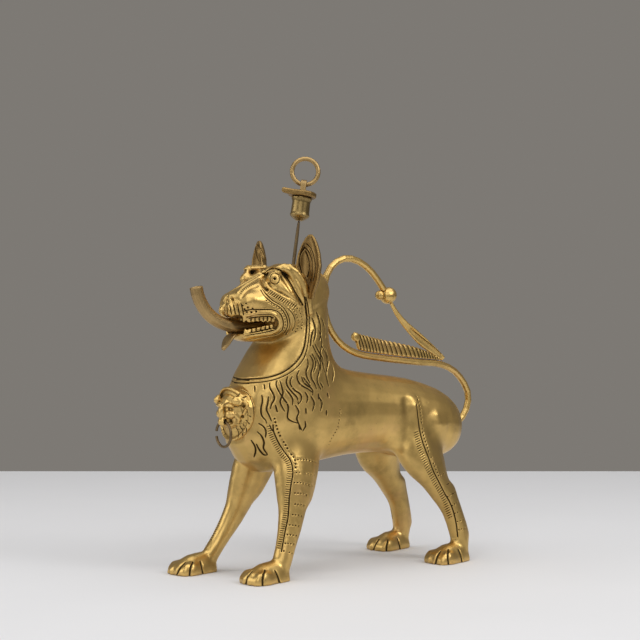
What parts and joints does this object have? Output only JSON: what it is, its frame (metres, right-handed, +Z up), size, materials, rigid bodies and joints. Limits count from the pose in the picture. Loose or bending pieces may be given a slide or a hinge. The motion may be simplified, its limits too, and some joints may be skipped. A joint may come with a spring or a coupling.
{
  "type": "lion oil lamp",
  "caption": "Standing lion shaped cast oil lamp with a wick spout at the mouth, a lifting filler stopper with a ring, and a looped tail handle.",
  "frame": {"origin": "on the ground plane under the paws, below the middle of the whole lamp's bounding box", "axes": "+Z up, the lion faces -Y, its left side is +X"},
  "size_m": [0.0792, 0.1986, 0.2255],
  "materials": {
    "brass": "aged, half polished",
    "dark_brass": "dark patina",
    "bright_brass": "worn bright"
  },
  "bodies": {
    "lamp": {"body_shell": "brass", "head_shell": "brass", "spout_tube": "brass", "tongue": "brass", "left_ear": "brass", "right_ear": "brass", "front_left_leg": "brass", "rear_left_leg": "brass", "front_right_leg": "brass", "rear_right_leg": "brass", "tail_handle": "brass", "tail_knop": "brass", "tail_blade": "brass", "tail_plume": "brass", "chest_mask": "brass"},
    "stopper": {"stopper_plug": "bright_brass", "stopper_flange": "brass", "stopper_eye": "brass", "stopper_rod": "dark_brass"},
    "finger_ring": {"stopper_ring": "brass"},
    "hanging_ring": {"chest_ring": "dark_brass"}
  },
  "joints": [
    {"name": "stopper_lift", "type": "slide", "parent": "lamp", "child": "stopper", "axis": [0, 0.1564, 0.9877], "range_m": [-0.0365, 0.02]},
    {"name": "finger_ring_swing", "type": "hinge", "parent": "stopper", "child": "finger_ring", "pos_m": [0, -0.02558, 0.20994], "axis": [0.6157, 0.7783, -0.1233], "range_deg": [-90, 90]},
    {"name": "chest_ring_swing", "type": "hinge", "parent": "lamp", "child": "hanging_ring", "pos_m": [0, -0.07856, 0.08266], "axis": [1, 0, 0], "range_deg": [-85, 5]}
  ]
}
